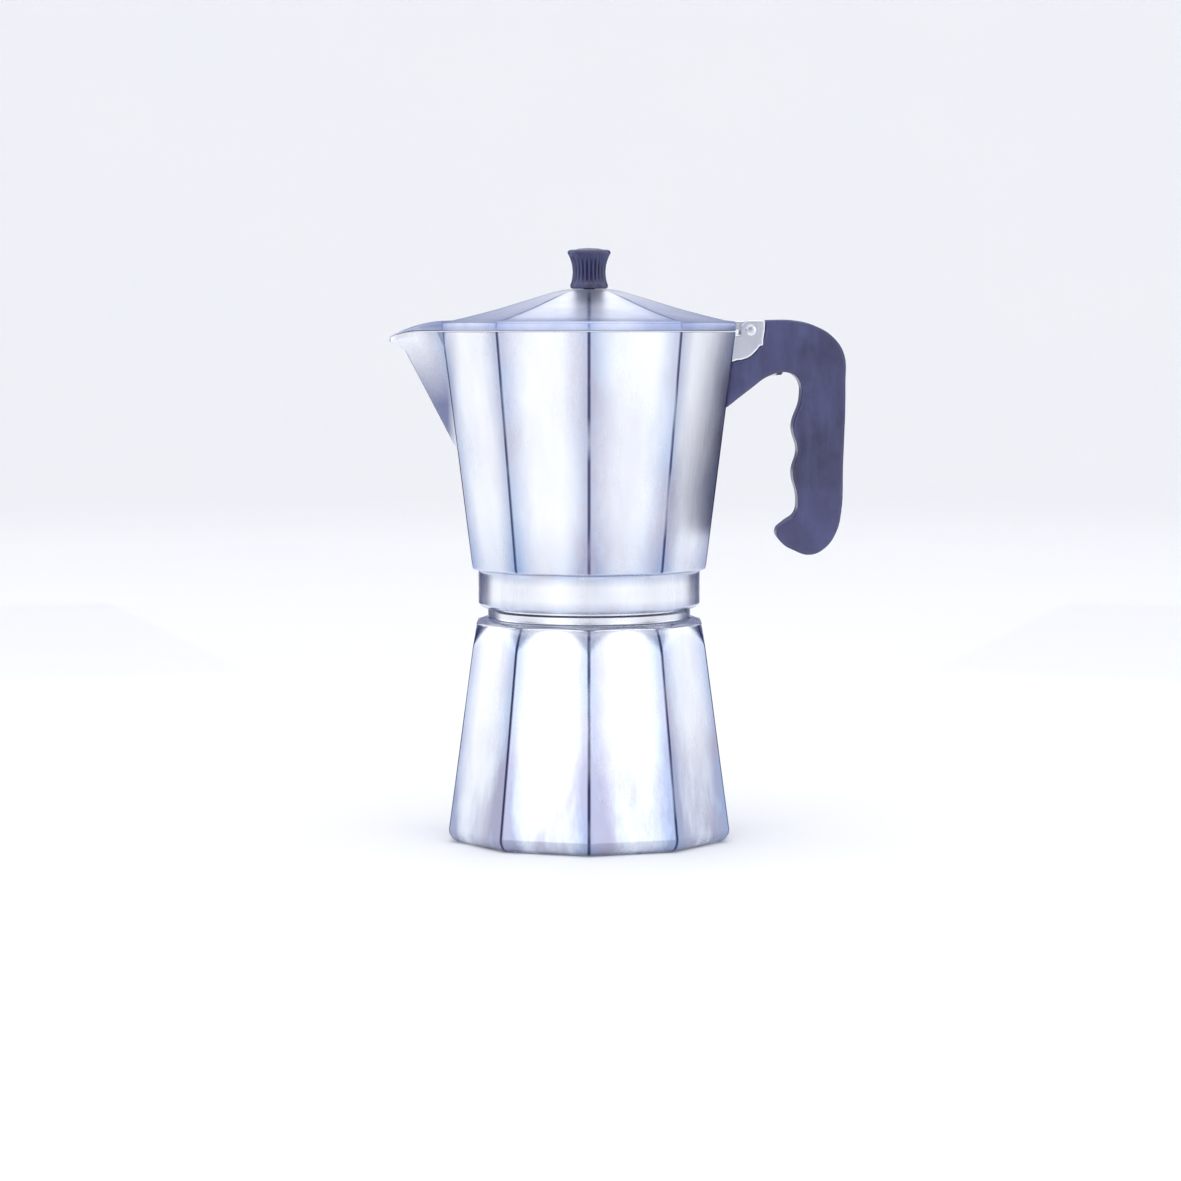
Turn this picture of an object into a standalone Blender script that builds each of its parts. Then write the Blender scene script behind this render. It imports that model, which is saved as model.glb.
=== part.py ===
"""A ten-sided stovetop coffee percolator, six-cup size.

Metres, +Z up. The origin is the centre of the boiler's underside. The spout points to -X
and the handle to +X, so both sit on the middle of a facet. Profiles are written in
millimetres and scaled by MM.
"""

import math

import bmesh
import bpy
from mathutils import Vector

MM = 0.001
NAME = "coffee_percolator"

SIDES = 10
HALF_SIDE = math.pi / SIDES
ROUND = 40
GAP = 0.3

# Boiler
BOILER_TOP = 79.2
BOILER_FOOT = 4.5
BOILER_FOOT_APOTHEM = 50.1
BOILER_TOP_APOTHEM = 40.2
NECK_TOP = 92.6
THREAD_CREST = 35.7
THREAD_ROOT = 34.4
THREAD_PITCH = 3.0
NECK_BORE = 31.8

# Collector
COLLAR_BOTTOM = 83.5
COLLAR_RADIUS = 39.8
BODY_BOTTOM = 97.2
BODY_BOTTOM_APOTHEM = 41.4
RIM = 181.8
RIM_APOTHEM = 51.8
WALL = 2.5
SEAT = 98.0
FLOOR = 101.2

# Lid and hinge
HINGE_X = 57.5
HINGE_Z = 182.4
PIN_RADIUS = 1.4
KNUCKLE_RADIUS = 3.4
KNUCKLE_HALF = 4.5
LID_APEX = 196.9

# Handle
HANDLE_HALF = 9.0
HANDLE_SCREW_X = 66.0

# Safety valve
VALVE_ANGLE = math.radians(108)
VALVE_HEIGHT = 52.0


def collection(name, hidden=False):
    made = bpy.data.collections.new(name)
    made.hide_render = hidden
    bpy.context.scene.collection.children.link(made)
    return made


def material(name, colour, roughness, metallic):
    made = bpy.data.materials.new(name)
    made.use_nodes = True
    shader = made.node_tree.nodes["Principled BSDF"]
    shader.inputs["Base Color"].default_value = (*colour, 1.0)
    shader.inputs["Roughness"].default_value = roughness
    shader.inputs["Metallic"].default_value = metallic
    return made


def add(name, mesh, look=None):
    """A named piece with its material or, with no material, a cutter."""
    piece = bpy.data.objects.new(name, mesh)
    if look is None:
        piece.hide_render = True
        piece.display_type = "WIRE"
        CUTTERS.objects.link(piece)
    else:
        mesh.materials.append(look)
        PARTS.objects.link(piece)
    return piece


def turned(name, profile, look=None, steps=ROUND, ring=False, soften=0.0):
    """A profile of (radius, height) that runs down its outer side, swept round Z."""
    mesh = bpy.data.meshes.new(name)
    points = [(radius * MM, 0.0, height * MM) for radius, height in profile]
    edges = [(i, i + 1) for i in range(len(points) - 1)]
    if ring:
        edges.append((len(points) - 1, 0))
    mesh.from_pydata(points, edges, [])
    piece = add(name, mesh, look)
    screw = piece.modifiers.new("sweep", "SCREW")
    screw.steps = steps
    screw.render_steps = steps
    screw.use_merge_vertices = True
    screw.merge_threshold = 1e-5
    screw.use_smooth_shade = steps > SIDES
    if soften:
        bevel = piece.modifiers.new("soften", "BEVEL")
        bevel.width = soften * MM
        bevel.segments = 2
        bevel.limit_method = "ANGLE"
        bevel.angle_limit = math.radians(32)
    return piece


def faceted(name, profile, look=None, ring=False, soften=0.0):
    """A ten-sided turning of (apothem, height), with a facet facing +X."""
    corners = [(apothem / math.cos(HALF_SIDE), height) for apothem, height in profile]
    piece = turned(name, corners, look, SIDES, ring, soften)
    piece.rotation_euler.z = HALF_SIDE
    return piece


def cut(piece, tool, operation="DIFFERENCE"):
    step = piece.modifiers.new(tool.name, "BOOLEAN")
    step.operation = operation
    step.object = tool
    step.solver = "EXACT"


def block(name, low, high):
    """A box cutter between two corners."""
    mesh = bpy.data.meshes.new(name)
    shape = bmesh.new()
    bmesh.ops.create_cube(shape, size=1.0)
    centre = [(a + b) / 2 * MM for a, b in zip(low, high)]
    size = [(b - a) * MM for a, b in zip(low, high)]
    bmesh.ops.scale(shape, verts=shape.verts, vec=size)
    bmesh.ops.translate(shape, verts=shape.verts, vec=centre)
    shape.to_mesh(mesh)
    shape.free()
    return add(name, mesh)


def rods(name, spots, radius, low, high, sides=8):
    """Upright round cutters at each (x, y), all in one tool."""
    mesh = bpy.data.meshes.new(name)
    shape = bmesh.new()
    for x, y in spots:
        made = bmesh.ops.create_cone(
            shape,
            cap_ends=True,
            segments=sides,
            radius1=radius * MM,
            radius2=radius * MM,
            depth=(high - low) * MM,
        )
        place = Vector((x, y, (low + high) / 2)) * MM
        bmesh.ops.translate(shape, verts=made["verts"], vec=place)
    shape.to_mesh(mesh)
    shape.free()
    return add(name, mesh)


def cross_rod(name, radius, half_length, look=None):
    """A round bar along Y on the hinge axis."""
    mesh = bpy.data.meshes.new(name)
    shape = bmesh.new()
    bmesh.ops.create_cone(
        shape,
        cap_ends=True,
        segments=24,
        radius1=radius * MM,
        radius2=radius * MM,
        depth=2 * half_length * MM,
    )
    shape.to_mesh(mesh)
    shape.free()
    piece = add(name, mesh, look)
    piece.rotation_euler.x = math.pi / 2
    piece.location = (HINGE_X * MM, 0, HINGE_Z * MM)
    return piece


def hull(name, corners):
    """The convex solid round some corners, mirrored across the plane y = 0."""
    mesh = bpy.data.meshes.new(name)
    shape = bmesh.new()
    for x, y, z in corners:
        for side in (-1, 1) if y else (1,):
            shape.verts.new((x * MM, side * y * MM, z * MM))
    bmesh.ops.convex_hull(shape, input=shape.verts)
    loose = [v for v in shape.verts if not v.link_faces]
    bmesh.ops.delete(shape, geom=loose, context="VERTS")
    bmesh.ops.recalc_face_normals(shape, faces=shape.faces)
    shape.to_mesh(mesh)
    shape.free()
    return add(name, mesh)


def plate(name, outline, half, look=None, upright=True, smooth=0, edge=0.0):
    """A flat outline given thickness. Upright, it lies in the XZ plane and is thick along Y."""
    curve = bpy.data.curves.new(name, "CURVE")
    curve.dimensions = "2D"
    curve.fill_mode = "BOTH"
    curve.extrude = (half - edge) * MM
    curve.bevel_depth = edge * MM
    curve.bevel_resolution = 1
    curve.offset = -edge * MM
    curve.resolution_u = max(smooth, 1)
    spline = curve.splines.new("BEZIER" if smooth else "POLY")
    if smooth:
        spline.bezier_points.add(len(outline) - 1)
        for point, (x, y, *sharp) in zip(spline.bezier_points, outline):
            point.co = (x * MM, y * MM, 0)
            kind = "VECTOR" if sharp else "AUTO"
            point.handle_left_type = kind
            point.handle_right_type = kind
    else:
        spline.points.add(len(outline) - 1)
        for point, (x, y) in zip(spline.points, outline):
            point.co = (x * MM, y * MM, 0, 1)
    spline.use_cyclic_u = True
    drawn = bpy.data.objects.new(name + "_outline", curve)
    CUTTERS.objects.link(drawn)
    if upright:
        drawn.rotation_euler.x = math.pi / 2
    bpy.context.view_layer.update()
    graph = bpy.context.evaluated_depsgraph_get()
    mesh = bpy.data.meshes.new_from_object(drawn.evaluated_get(graph))
    welded = bmesh.new()
    welded.from_mesh(mesh)
    bmesh.ops.remove_doubles(welded, verts=welded.verts, dist=1e-6)
    bmesh.ops.recalc_face_normals(welded, faces=welded.faces)
    welded.to_mesh(mesh)
    welded.free()
    mesh.materials.clear()
    piece = add(name, mesh, look)
    piece.matrix_world = drawn.matrix_world
    bpy.data.objects.remove(drawn)
    return piece


def arc(x, z, wide, high, start, end, count):
    """Points on an ellipse from one angle in degrees to another."""
    angles = [math.radians(start + (end - start) * i / count) for i in range(count + 1)]
    return [(x + wide * math.cos(a), z + high * math.sin(a)) for a in angles]


def hole_rings(rings, spacing):
    """A hole in the middle and rings of holes round it, six more in each ring."""
    spots = [(0.0, 0.0)]
    for ring in range(1, rings + 1):
        for i in range(6 * ring):
            turn = 2 * math.pi * i / (6 * ring)
            spots.append((ring * spacing * math.cos(turn), ring * spacing * math.sin(turn)))
    return spots


def between(height, low, high, at_low, at_high):
    return at_low + (at_high - at_low) * (height - low) / (high - low)


def boiler_apothem(height):
    ends = BOILER_FOOT, BOILER_TOP, BOILER_FOOT_APOTHEM, BOILER_TOP_APOTHEM
    return between(height, *ends)


def body_apothem(height):
    return between(height, BODY_BOTTOM, RIM, BODY_BOTTOM_APOTHEM, RIM_APOTHEM)


def thread_rows(crest, root, start, rows):
    """The points of some thread crests, listed from the top row down."""
    points = []
    for row in reversed(range(rows)):
        z = start + row * THREAD_PITCH
        points += [(root, z + 1.5), (crest, z + 0.9), (crest, z + 0.3), (root, z - 0.3)]
    return points


def build_boiler():
    """Ten-sided casting with a sloped shoulder, a threaded neck and an open inside."""
    outside = [
        (0, BOILER_TOP),
        (38.7, BOILER_TOP),
        (boiler_apothem(77.6), 77.6),
        (BOILER_FOOT_APOTHEM, BOILER_FOOT),
        (boiler_apothem(BOILER_FOOT) - 0.9, 1.6),
        (47.6, 0),
        (0, 0),
    ]
    boiler = faceted("boiler", outside, CAST, soften=1.2)
    neck = [(0, NECK_TOP), (34.2, NECK_TOP)]
    neck += thread_rows(THREAD_CREST, THREAD_ROOT, 84.4, 3)
    neck += [(THREAD_ROOT, 82.6), (36.5, 82.2), (36.5, 70), (0, 70)]
    cut(boiler, turned("boiler_neck", neck, steps=48), "UNION")
    inside = [(0, 99), (NECK_BORE, 99), (NECK_BORE, 77.5), (37.6, 74), (46.6, 8)]
    inside += [(45.4, 4.6), (42.0, 3.0), (0, 3.0)]
    cut(boiler, turned("boiler_inside", inside))
    port = turned("valve_port", [(0, 9), (4.3, 9), (4.3, -9), (0, -9)], steps=24)
    port.parent = VALVE_AXIS
    cut(boiler, port)


def build_valve():
    """Spring-loaded pressure relief valve, screwed into a rear facet."""
    washer = turned(
        "valve_washer", [(4.3, 1.1), (6.4, 1.1), (6.4, 0.3), (4.3, 0.3)], COPPER, 24, True
    )
    hexagon = [(0, 6.6), (5.9, 6.6), (6.35, 6.1), (6.35, 1.4), (0, 1.4)]
    body = turned("valve_body", hexagon, BRASS, steps=6)
    shank = turned("valve_shank", [(0, 1.7), (4.0, 1.7), (4.0, -5), (0, -5)], steps=24)
    cut(body, shank, "UNION")
    bore = [(0, 9), (2.7, 9), (2.7, -3.4), (1.3, -3.7), (1.3, -8), (0, -8)]
    hollow = turned("valve_bore", bore, steps=24)
    cut(body, hollow)
    shape = [(0, 8.0), (0.6, 8.0), (0.8, 7.7), (0.8, -2.3), (2.3, -2.3), (2.3, -3.1), (0, -3.1)]
    pin = turned("valve_pin", shape, STEEL, 20)
    cap = [(1.2, 5.8), (2.4, 5.8), (2.4, 4.4), (1.2, 4.4)]
    retainer = turned("valve_retainer", cap, BRASS, 20, True)
    for piece in (washer, body, shank, hollow, pin, retainer, build_valve_spring()):
        piece.parent = VALVE_AXIS


def build_valve_spring():
    turns = 4.5
    count = 54
    curve = bpy.data.curves.new("valve_spring", "CURVE")
    curve.dimensions = "3D"
    curve.bevel_depth = 0.26 * MM
    curve.bevel_resolution = 1
    curve.use_fill_caps = True
    spline = curve.splines.new("POLY")
    spline.points.add(count)
    for i, point in enumerate(spline.points):
        angle = 2 * math.pi * turns * i / count
        z = between(i, 0, count, -1.7, 3.8)
        point.co = (1.65 * MM * math.cos(angle), 1.65 * MM * math.sin(angle), z * MM, 1)
    curve.materials.append(STEEL)
    spring = bpy.data.objects.new("valve_spring", curve)
    PARTS.objects.link(spring)
    return spring


def build_funnel():
    """Spun cup whose flange rests on the boiler's neck, with a stem and a sieve."""
    cup = [(30.1, 93.7), (34.0, 93.7), (34.0, 92.9), (31.0, 92.7), (31.0, 74.2)]
    cup += [(30.4, 73.2), (6.2, 62.0), (6.2, 56.5), (5.3, 56.5), (5.3, 62.5)]
    cup += [(29.2, 73.6), (30.1, 74.6)]
    turned("funnel_cup", cup, ALUMINIUM, 48, True)
    stem = [(4.2, 62.2), (5.0, 62.2), (5.0, 6.5), (4.2, 6.5)]
    turned("funnel_stem", stem, ALUMINIUM, 24, True)
    disc = [(0, 75.7), (29.6, 75.7), (29.6, 74.9), (0, 74.9)]
    sieve = turned("funnel_sieve", disc, ALUMINIUM, 36)
    cut(sieve, rods("sieve_holes", hole_rings(3, 7.4), 1.2, 73, 78, 6))


def build_seal():
    """Gasket and perforated filter plate, pressed up against the collector."""
    ring = [(28.6, 96.4), (29.0, 96.8), (34.5, 96.8), (34.9, 96.4), (34.9, 94.4), (34.5, 94.0)]
    ring += [(29.0, 94.0), (28.6, 94.4)]
    turned("gasket", ring, RUBBER, 48, True)
    dish = [(0, 95.9), (25.8, 95.9), (27.0, 97.7), (33.8, 97.7), (33.8, 97.1), (27.9, 97.1)]
    dish += [(26.7, 95.1), (0, 95.1)]
    filter_plate = turned("filter_plate", dish, ALUMINIUM, 48)
    cut(filter_plate, rods("filter_holes", hole_rings(3, 7.2), 1.0, 93, 99, 6))


def build_collector():
    """Upper casting: flared body, round collar, spout, hinge boss and handle tang."""
    outside = [
        (0, RIM),
        (RIM_APOTHEM, RIM),
        (body_apothem(99.4), 99.4),
        (BODY_BOTTOM_APOTHEM - 0.6, BODY_BOTTOM + 0.4),
        (BODY_BOTTOM_APOTHEM - 2.4, BODY_BOTTOM),
        (0, BODY_BOTTOM),
    ]
    collector = faceted("collector", outside, CAST, soften=1.2)
    collar = [(0, 99), (COLLAR_RADIUS, 99), (COLLAR_RADIUS, COLLAR_BOTTOM + 1.4)]
    collar += [(COLLAR_RADIUS - 1.2, COLLAR_BOTTOM), (0, COLLAR_BOTTOM)]
    cut(collector, turned("collar", collar, steps=48), "UNION")
    beak = [(44, 12, RIM), (51.6, 16.2, RIM), (67.2, 1.5, RIM - 1.5), (66.2, 0.9, 175.7)]
    beak += [(47.0, 0.5, 138.0), (42, 0.5, 137.0), (64, 4.6, RIM)]
    cut(collector, hull("spout_wedge", [(-x, y, z) for x, y, z in beak]), "UNION")
    lip = [(63, 3.4, RIM - 0.3), (63, 1.2, 174.6), (71.3, 0.9, 179.1), (71.6, 0.5, 178.3)]
    lip += [(66.4, 0.9, 175.9)]
    cut(collector, hull("spout_lip", [(-x, y, z) for x, y, z in lip]), "UNION")
    boss = [(48.6, 170.6)] + arc(52.6, 184, 10, 12.4, -90, 0, 8)
    boss += [(62.6, 186.0)] + arc(HINGE_X, HINGE_Z, 3.6, 3.6, 90, 180, 6)
    boss += [(53.9, 180.6), (50.3, 180.6)]
    cut(collector, plate("hinge_boss", boss, HANDLE_HALF), "UNION")
    cut(collector, block("handle_tang", (54, -4.5, 172.6), (71, 4.5, 177.8)), "UNION")

    inside = [(0, RIM + 8), (body_apothem(RIM + 8) - WALL, RIM + 8)]
    inside += [(body_apothem(FLOOR + 3) - WALL, FLOOR + 3), (36.5, FLOOR), (0, FLOOR)]
    cut(collector, faceted("collector_inside", inside))
    channel = [(40, 10.4, RIM + 6), (51.6, 13.0, RIM), (51.6, 13.0, RIM + 6)]
    channel += [(63.4, 1.3, RIM), (63.4, 1.3, RIM + 6), (62.4, 0.6, 172.6)]
    channel += [(43.8, 0.5, 141.6), (40, 0.5, 141.0)]
    cut(collector, hull("spout_channel", [(-x, y, z) for x, y, z in channel]))
    groove = [(61, 1.7, RIM + 6), (61, 0.9, 177.4), (73, 0.5, RIM + 6), (73, 0.3, 179.2)]
    groove += [(61, 1.7, RIM)]
    cut(collector, hull("lip_groove", [(-x, y, z) for x, y, z in groove]))
    under = [(0, SEAT), (35.2, SEAT), (35.2, 93.2), (36.2, 92.6)]
    under += thread_rows(37.0, 36.2, 85.6, 3)
    under += [(36.2, 84.6), (36.8, 83.0), (36.8, 80), (0, 80)]
    cut(collector, turned("collar_inside", under, steps=48))
    cut(collector, rods("column_hole", [(0, 0)], 4.3, 90, 110, 24))
    cut(collector, block("knuckle_slot", (52.2, -4.8, 178.5), (64, 4.8, 192)))
    cut(collector, cross_rod("ear_bore", PIN_RADIUS + GAP, 12))
    cut(collector, rods("tang_hole", [(HANDLE_SCREW_X, 0)], 2.3, 165, 185, 20))


def build_column():
    """Riser on the collector's floor, with a spigot through it and side slots."""
    shape = [(0, 150.4), (2.4, 150.2), (4.2, 148.8), (4.8, 146.6), (5.7, 124), (7.2, 105)]
    shape += [(9.0, 102.4), (9.0, 101.5), (4.0, 101.5), (4.0, 98.3), (2.8, 98.3)]
    shape += [(2.8, 146.4), (1.6, 147.6), (0, 147.6)]
    column = turned("coffee_column", shape, ALUMINIUM, 28)
    cut(column, block("column_slots", (-12, -1.1, 139.5), (12, 1.1, 146.5)))


def build_handle():
    """Moulded grip with a waved inner edge and a hooked foot, screwed to the tang."""
    outline = [(63.0, 186.1, 1), (73.0, 185.9), (80.3, 184.0), (87.0, 179.8), (90.8, 173.8)]
    outline += [(91.3, 164.0), (90.6, 134.0), (90.0, 117.4), (88.2, 110.2), (84.0, 104.5)]
    outline += [(78.8, 102.3), (73.0, 104.0), (68.8, 106.6), (66.8, 110.4), (69.8, 113.8)]
    outline += [(73.6, 116.8), (74.4, 122.4), (72.6, 131.6), (74.4, 139.4), (72.6, 148.0)]
    outline += [(75.5, 158.4), (74.6, 164.8), (70.6, 167.4), (64.4, 166.3), (57.2, 161.3)]
    foot = body_apothem(154.6) + GAP
    outline += [(foot, 154.6, 1), (body_apothem(171) + GAP, 171.0, 1)]
    bottom = arc(52.6, 184, 10 + GAP, 12.4 + GAP, -86, 0, 6)
    outline += [(x, z, 1) for x, z in bottom]
    handle = plate("handle", outline, HANDLE_HALF, BAKELITE, smooth=4, edge=1.1)
    pocket = block("tang_pocket", (48, -4.8, 172.3), (71.3, 4.8, 178.1))
    cut(handle, pocket)
    bore = [(0, 174), (2.3, 174), (2.3, 169.8), (4.4, 169.8), (4.4, 150), (0, 150)]
    hole = turned("handle_bore", bore, steps=24)
    hole.location.x = HANDLE_SCREW_X * MM
    cut(handle, hole)
    screw = [(0, 177.6), (2.0, 177.6), (2.0, 168.4), (3.5, 168.4), (3.5, 167.0), (2.8, 166.2)]
    screw += [(0, 166.2)]
    made = turned("handle_screw", screw, STEEL, 20)
    made.location.x = HANDLE_SCREW_X * MM
    washer = [(2.3, 169.5), (4.1, 169.5), (4.1, 168.7), (2.3, 168.7)]
    made = turned("handle_washer", washer, STEEL, 24, True)
    made.location.x = HANDLE_SCREW_X * MM


def build_lid():
    """Ten-sided pressed lid with a rim band, a beak over the spout and a knuckle."""
    slope = [(8.6, LID_APEX), (14, 195.6), (21, 193.4), (32, 190.0), (39, 188.1), (48, 185.9)]
    skin = [(2.4, LID_APEX)] + slope + [(51.2, 185.6), (51.9, 184.9), (51.9, RIM + GAP)]
    skin += [(50.2, RIM + GAP), (50.2, 183.6)]
    skin += [(r - 0.4, z - 1.8) for r, z in reversed(slope)] + [(2.4, LID_APEX - 1.8)]
    lid = faceted("lid", skin, CAST, ring=True)
    side = [(-50.6, 185.3), (-53.3, 185.4), (-60.5, 184.3), (-65.2, 182.9), (-68.8, 181.4)]
    side += [(-71.6, 179.9), (-71.6, 179.5), (-63.5, RIM + GAP), (-50.6, RIM + GAP)]
    beak = plate("lid_beak", side, 20)
    plan = [(-50.6, -16.2), (-52.0, -16.2), (-67.0, -3.2), (-70.6, -1.4), (-71.4, 0)]
    plan += [(x, -y) for x, y in reversed(plan[:-1])]
    outline = plate("lid_beak_plan", plan, 12, upright=False)
    outline.location.z = 182 * MM
    cut(beak, outline, "INTERSECT")
    cut(lid, beak, "UNION")
    knuckle = [(50.6, 185.2), (52.0, 185.8)]
    knuckle += arc(HINGE_X, HINGE_Z, KNUCKLE_RADIUS, KNUCKLE_RADIUS, 90, -180, 14)
    knuckle += [(50.6, RIM + GAP + 0.2)]
    cut(lid, plate("lid_knuckle", knuckle, KNUCKLE_HALF), "UNION")
    cut(lid, cross_rod("knuckle_bore", PIN_RADIUS + GAP, 12))
    lid.parent = HINGE_AXIS
    lid.location = -HINGE_AXIS.location
    cross_rod("hinge_pin", PIN_RADIUS, HANDLE_HALF - 0.2, STEEL)


def build_knob():
    """Waisted knob with a threaded insert, screwed on from under the lid."""
    shape = [(0, 211.7), (4.8, 211.4), (7.1, 210.7), (7.75, 209.9), (7.4, 209.0), (6.5, 207.6)]
    shape += [(6.0, 205.6), (5.75, 203.0), (5.95, 200.8), (6.5, 198.4), (6.6, 197.2)]
    shape += [(3.9, 197.2), (3.9, 205.0), (2.3, 205.0), (2.3, 207.0), (0, 207.0)]
    knob = turned("lid_knob", shape, BAKELITE, 32)
    sleeve = [(2.3, 204.7), (3.6, 204.7), (3.6, 197.5), (2.3, 197.5)]
    insert = turned("knob_insert", sleeve, BRASS, 20, True)
    bolt = [(0, 206.4), (2.0, 206.4), (2.0, 194.0), (3.6, 194.0), (3.6, 192.8), (2.8, 192.0)]
    bolt += [(0, 192.0)]
    screw = turned("knob_screw", bolt, STEEL, 20)
    disc = [(2.4, 194.8), (5.0, 194.8), (5.0, 194.3), (2.4, 194.3)]
    washer = turned("knob_washer", disc, STEEL, 24, True)
    for piece in (knob, insert, screw, washer):
        piece.parent = HINGE_AXIS
        piece.location = -HINGE_AXIS.location


for old in list(bpy.data.objects):
    bpy.data.objects.remove(old)

PARTS = collection(NAME)
CUTTERS = collection("cutters", hidden=True)

CAST = material("cast_aluminium", (0.72, 0.75, 0.82), 0.28, 1.0)
ALUMINIUM = material("spun_aluminium", (0.78, 0.79, 0.82), 0.35, 1.0)
BAKELITE = material("dark_bakelite", (0.065, 0.068, 0.16), 0.35, 0.0)
STEEL = material("stainless_steel", (0.62, 0.62, 0.64), 0.25, 1.0)
BRASS = material("brass", (0.78, 0.58, 0.25), 0.3, 1.0)
COPPER = material("copper", (0.85, 0.45, 0.3), 0.35, 1.0)
RUBBER = material("silicone_rubber", (0.85, 0.83, 0.78), 0.6, 0.0)

HINGE_AXIS = bpy.data.objects.new("hinge_axis", None)
HINGE_AXIS.location = (HINGE_X * MM, 0, HINGE_Z * MM)
PARTS.objects.link(HINGE_AXIS)

# The valve's axis leaves the middle of its facet at a right angle, tilted up by the taper.
VALVE_AXIS = bpy.data.objects.new("valve_axis", None)
rise = (BOILER_FOOT_APOTHEM - BOILER_TOP_APOTHEM) / (BOILER_TOP - BOILER_FOOT)
across = boiler_apothem(VALVE_HEIGHT) * MM
outward = Vector((math.cos(VALVE_ANGLE), math.sin(VALVE_ANGLE), 0))
VALVE_AXIS.location = outward * across + Vector((0, 0, VALVE_HEIGHT * MM))
VALVE_AXIS.rotation_mode = "QUATERNION"
VALVE_AXIS.rotation_quaternion = (outward + Vector((0, 0, rise))).to_track_quat("Z", "Y")
PARTS.objects.link(VALVE_AXIS)

build_boiler()
build_valve()
build_funnel()
build_seal()
build_collector()
build_column()
build_handle()
build_lid()
build_knob()
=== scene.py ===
import math

import bmesh
import bpy
import numpy as np
from mathutils import Matrix, Vector


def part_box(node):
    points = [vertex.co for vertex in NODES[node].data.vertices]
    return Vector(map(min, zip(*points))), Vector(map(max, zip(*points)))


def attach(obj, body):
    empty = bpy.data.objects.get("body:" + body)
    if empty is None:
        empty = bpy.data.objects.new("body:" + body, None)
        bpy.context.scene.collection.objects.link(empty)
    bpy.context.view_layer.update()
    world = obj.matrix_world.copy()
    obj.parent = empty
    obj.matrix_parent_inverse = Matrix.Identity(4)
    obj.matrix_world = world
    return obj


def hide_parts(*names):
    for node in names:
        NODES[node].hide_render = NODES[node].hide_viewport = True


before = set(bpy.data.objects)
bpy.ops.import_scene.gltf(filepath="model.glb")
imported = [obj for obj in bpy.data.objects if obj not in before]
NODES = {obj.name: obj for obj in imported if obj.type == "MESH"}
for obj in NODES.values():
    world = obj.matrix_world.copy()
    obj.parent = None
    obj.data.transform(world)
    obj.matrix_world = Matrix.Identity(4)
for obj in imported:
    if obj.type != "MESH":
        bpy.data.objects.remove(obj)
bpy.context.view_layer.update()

MM = 0.001


# ---------------------------------------------------------------------------------------
# Boiler. The lower pot is a gravity-cast aluminium shell with ten facets, turned in a lathe
# at the shoulder, the groove and the threaded neck, then polished to a soft satin.


class Wire:
    """A socket that takes part in sums; each operator adds a Math node to its tree."""

    def __init__(self, tree, socket=None):
        self.tree = tree
        self.socket = socket

    def node(self, kind, settings=None, values=None, out=0):
        made = self.tree.nodes.new(kind)
        for key, value in (settings or {}).items():
            setattr(made, key, value)
        for key, value in (values or {}).items():
            target = made.inputs[key]
            if isinstance(value, Wire):
                self.tree.links.new(value.socket, target)
            else:
                target.default_value = value
        return Wire(self.tree, made.outputs[out])

    def math(self, operation, *others):
        return self.node(
            "ShaderNodeMath", {"operation": operation}, dict(enumerate((self, *others)))
        )

    def __add__(self, other):
        return self.math("ADD", other)

    __radd__ = __add__

    def __sub__(self, other):
        return self.math("SUBTRACT", other)

    def __rsub__(self, other):
        return self * -1.0 + other

    def __mul__(self, other):
        return self.math("MULTIPLY", other)

    __rmul__ = __mul__

    def __truediv__(self, other):
        return self.math("DIVIDE", other)

    def __rtruediv__(self, other):
        return self**-1.0 * other

    def __pow__(self, other):
        return self.math("POWER", other)

    def __lt__(self, other):
        return self.math("LESS_THAN", other)

    def __abs__(self):
        return self.math("ABSOLUTE")


def finish(name, metallic, roughness, **constants):
    """A new material, the start of its wiring, its shader and the object-space position."""
    made = bpy.data.materials.new(name)
    made.use_nodes = True
    shader = made.node_tree.nodes["Principled BSDF"]
    shader.inputs["Metallic"].default_value = metallic
    shader.inputs["Roughness"].default_value = roughness
    for key, value in constants.items():
        shader.inputs[key.replace("_", " ")].default_value = value
    start = Wire(made.node_tree)
    place = start.node("ShaderNodeTexCoord", out="Object")
    return made, start, shader, place


def blended(wire, amount, one, other):
    """A colour between two, by an amount from 0 to 1."""
    settings = {"data_type": "RGBA", "clamp_factor": True}
    return wire.node("ShaderNodeMix", settings, {0: amount, 6: one, 7: other}, out=2)


def grain(wire, place, stretch, scale, detail=3.0, rough=0.5):
    """Noise on a stretched position, from 0 to 1."""
    at = wire.node("ShaderNodeMapping", None, {"Vector": place, "Scale": stretch})
    values = {"Vector": at, "Scale": scale, "Detail": detail, "Roughness": rough}
    return wire.node("ShaderNodeTexNoise", None, values)


def spread(value, low, high):
    """The value stretched so that low becomes 0 and high becomes 1, held between them."""
    return value.node("ShaderNodeClamp", None, {0: (value - low) / (high - low)})


def feed(wire, shader, **links):
    """Joins each value to the shader input of that name."""
    for key, value in links.items():
        wire.tree.links.new(value.socket, shader.inputs[key.replace("_", " ")])


def dented(wire, height, strength, distance):
    """A surface normal from small heights."""
    values = {"Height": height, "Strength": strength, "Distance": distance}
    return wire.node("ShaderNodeBump", None, values)


FACETS = 10
FACET_DEGREES = 360 // FACETS
WAIST = 0.0815  # metres: boiler facets end below this height, collector facets start above it


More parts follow.
